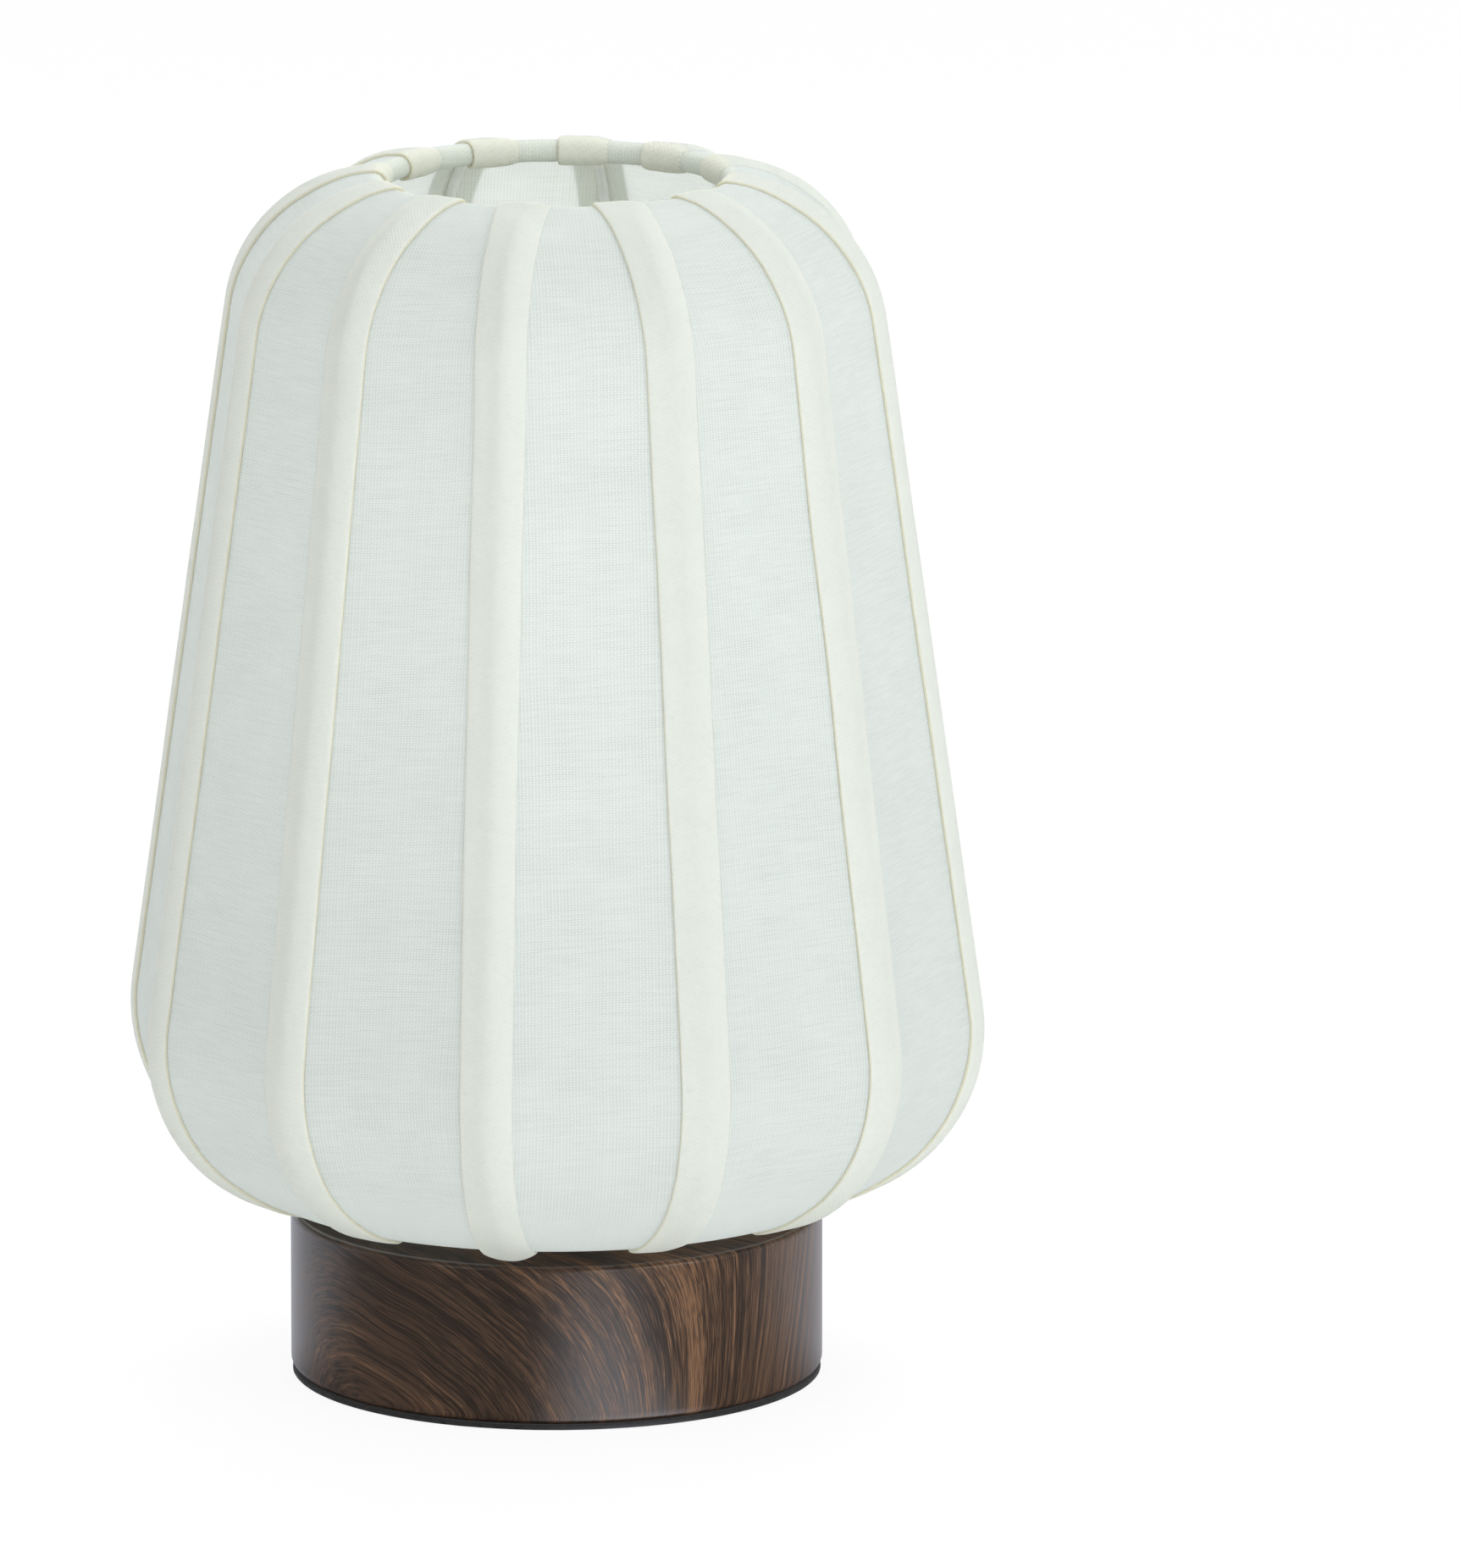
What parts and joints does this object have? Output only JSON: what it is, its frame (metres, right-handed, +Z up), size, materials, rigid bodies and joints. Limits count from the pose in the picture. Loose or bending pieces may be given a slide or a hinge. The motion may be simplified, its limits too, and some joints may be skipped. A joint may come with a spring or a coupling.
{
  "type": "table lamp",
  "caption": "Table lamp with a tall panelled cloth shade, domed at the shoulder and rounded at the belly, taped over its wire ribs, on a low dark wooden drum.",
  "frame": {"origin": "on the lamp's axis, on the surface that it stands on", "axes": "+Z up along the lamp's axis, -Y to the front, the cable gland at the back on +Y"},
  "size_m": [0.247, 0.247, 0.3525],
  "materials": {
    "panel_cloth": "off-white plain weave, slubbed",
    "twill_tape": "cream twill, folded edge",
    "white_wire": "white coated steel wire",
    "dark_wood": "striped dark hardwood, satin lacquer",
    "fibre_board": "plain hard fibre board",
    "pad_felt": "black felt",
    "weight_steel": "mill finish",
    "zinc_steel": "zinc plated",
    "black_steel": "black enamel",
    "black_plastic": "moulded, satin",
    "white_ceramic": "steatite",
    "brass": "stamped",
    "nickel": "nickel plated",
    "solder": "solder",
    "black_glass": "dark glass insulator",
    "clear_glass": "clear",
    "filament": "yellow filament sticks on a glass stem"
  },
  "bodies": {
    "root": {"base_drum": "dark_wood", "base_weight": "weight_steel", "base_cover": "fibre_board", "foot_pad": "pad_felt", "cable_gland": "black_plastic", "stem_tube": "zinc_steel", "stem_nut": "zinc_steel", "seat_washer": "black_steel", "lampholder_cap": "black_plastic", "lampholder_body": "black_plastic", "contact_carrier": "white_ceramic", "terminal_screws": "brass", "screw_shell": "brass", "centre_contact": "brass"},
    "shade": {"shade_panel_01": "panel_cloth", "shade_panel_02": "panel_cloth", "shade_panel_03": "panel_cloth", "shade_panel_04": "panel_cloth", "shade_panel_05": "panel_cloth", "shade_panel_06": "panel_cloth", "shade_panel_07": "panel_cloth", "shade_panel_08": "panel_cloth", "shade_panel_09": "panel_cloth", "shade_panel_10": "panel_cloth", "shade_panel_11": "panel_cloth", "shade_panel_12": "panel_cloth", "rib_tape_01": "twill_tape", "rib_tape_02": "twill_tape", "rib_tape_03": "twill_tape", "rib_tape_04": "twill_tape", "rib_tape_05": "twill_tape", "rib_tape_06": "twill_tape", "rib_tape_07": "twill_tape", "rib_tape_08": "twill_tape", "rib_tape_09": "twill_tape", "rib_tape_10": "twill_tape", "rib_tape_11": "twill_tape", "rib_tape_12": "twill_tape", "rib_wire_01": "white_wire", "rib_wire_02": "white_wire", "rib_wire_03": "white_wire", "rib_wire_04": "white_wire", "rib_wire_05": "white_wire", "rib_wire_06": "white_wire", "rib_wire_07": "white_wire", "rib_wire_08": "white_wire", "rib_wire_09": "white_wire", "rib_wire_10": "white_wire", "rib_wire_11": "white_wire", "rib_wire_12": "white_wire", "upper_ring": "white_wire", "lower_ring": "white_wire", "fitter_ring": "white_wire", "fitter_spokes": "white_wire"},
    "shade_ring": {"shade_ring": "black_plastic"},
    "bulb_foot": {"bulb_tip": "solder", "bulb_insulator": "black_glass"},
    "bulb": {"bulb_cap": "nickel", "bulb_glass": "clear_glass", "bulb_filament": "filament"}
  },
  "joints": [
    {"name": "shade_lift", "type": "slide", "parent": "root", "child": "shade", "axis": [0, 0, 1], "range_m": [0, 0.14]},
    {"name": "shade_ring_turn", "type": "hinge", "parent": "shade", "child": "shade_ring", "pos_m": [0, 0, 0.0749], "axis": [0, 0, 1], "continuous": true},
    {"name": "bulb_travel", "type": "slide", "parent": "root", "child": "bulb_foot", "axis": [0, 0, 1], "range_m": [0, 0.01995]},
    {"name": "bulb_turn", "type": "hinge", "parent": "bulb_foot", "child": "bulb", "pos_m": [0, 0, 0.09], "axis": [0, 0, 1], "range_deg": [0, 1980]}
  ],
  "couplings": [
    {"joint": "bulb_turn", "follows": "bulb_travel", "rad_per_m": 1731.4}
  ]
}
